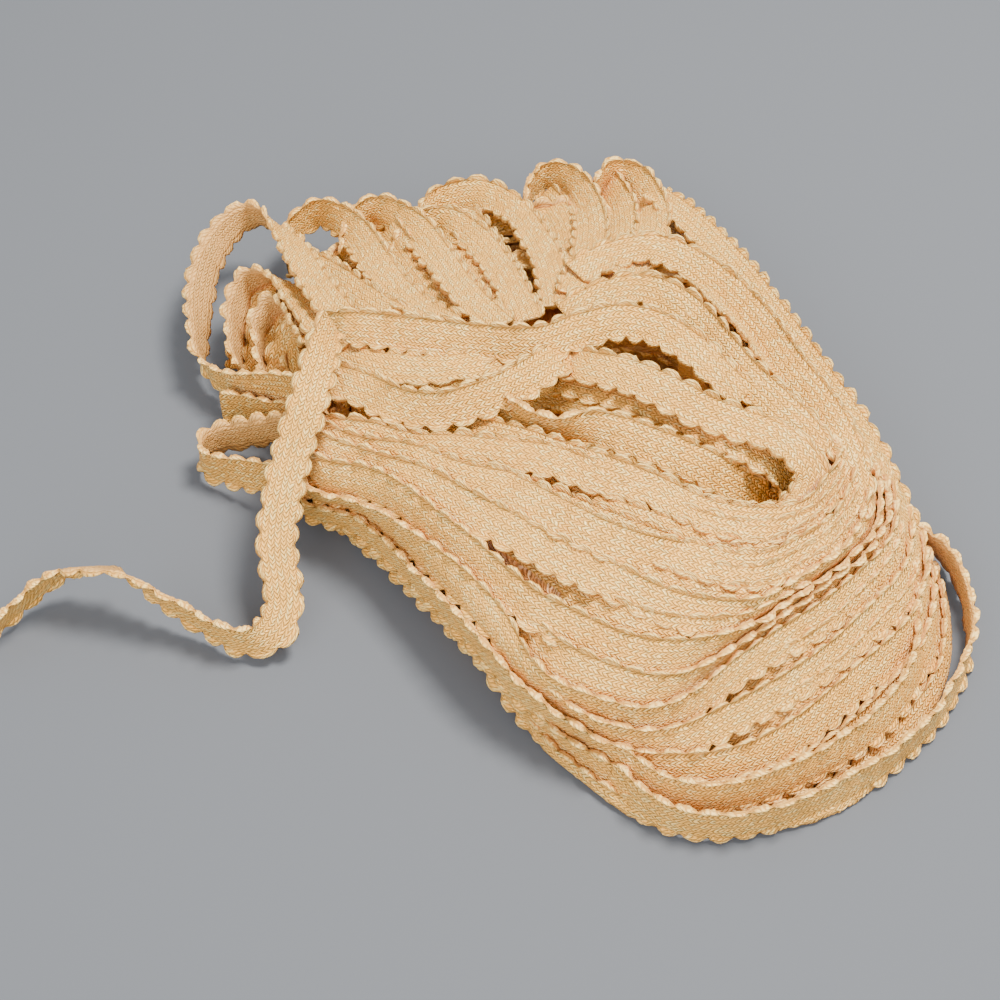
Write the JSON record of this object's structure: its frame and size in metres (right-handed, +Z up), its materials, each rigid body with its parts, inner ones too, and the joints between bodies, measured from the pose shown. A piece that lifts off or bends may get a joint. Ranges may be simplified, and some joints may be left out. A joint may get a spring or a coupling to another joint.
{
  "type": "braid trim",
  "caption": "Cream gimp braid trim with scalloped edges, wound in a loose tied hank that lies on the table with one loose end trailing away.",
  "frame": {"origin": "bottom centre of the whole bounding box, on the table under the hank", "axes": "+Z up from the table; +X to the right as the picture shows the hank; +Y away from the viewer, so the loose end trails towards -X"},
  "size_m": [0.225, 0.1976, 0.0431],
  "materials": {
    "braid_cream": "soft sheen",
    "braid_cream_end": "soft sheen"
  },
  "bodies": {
    "root": {"hank": "braid_cream", "loose_end": "braid_cream_end"}
  },
  "joints": []
}
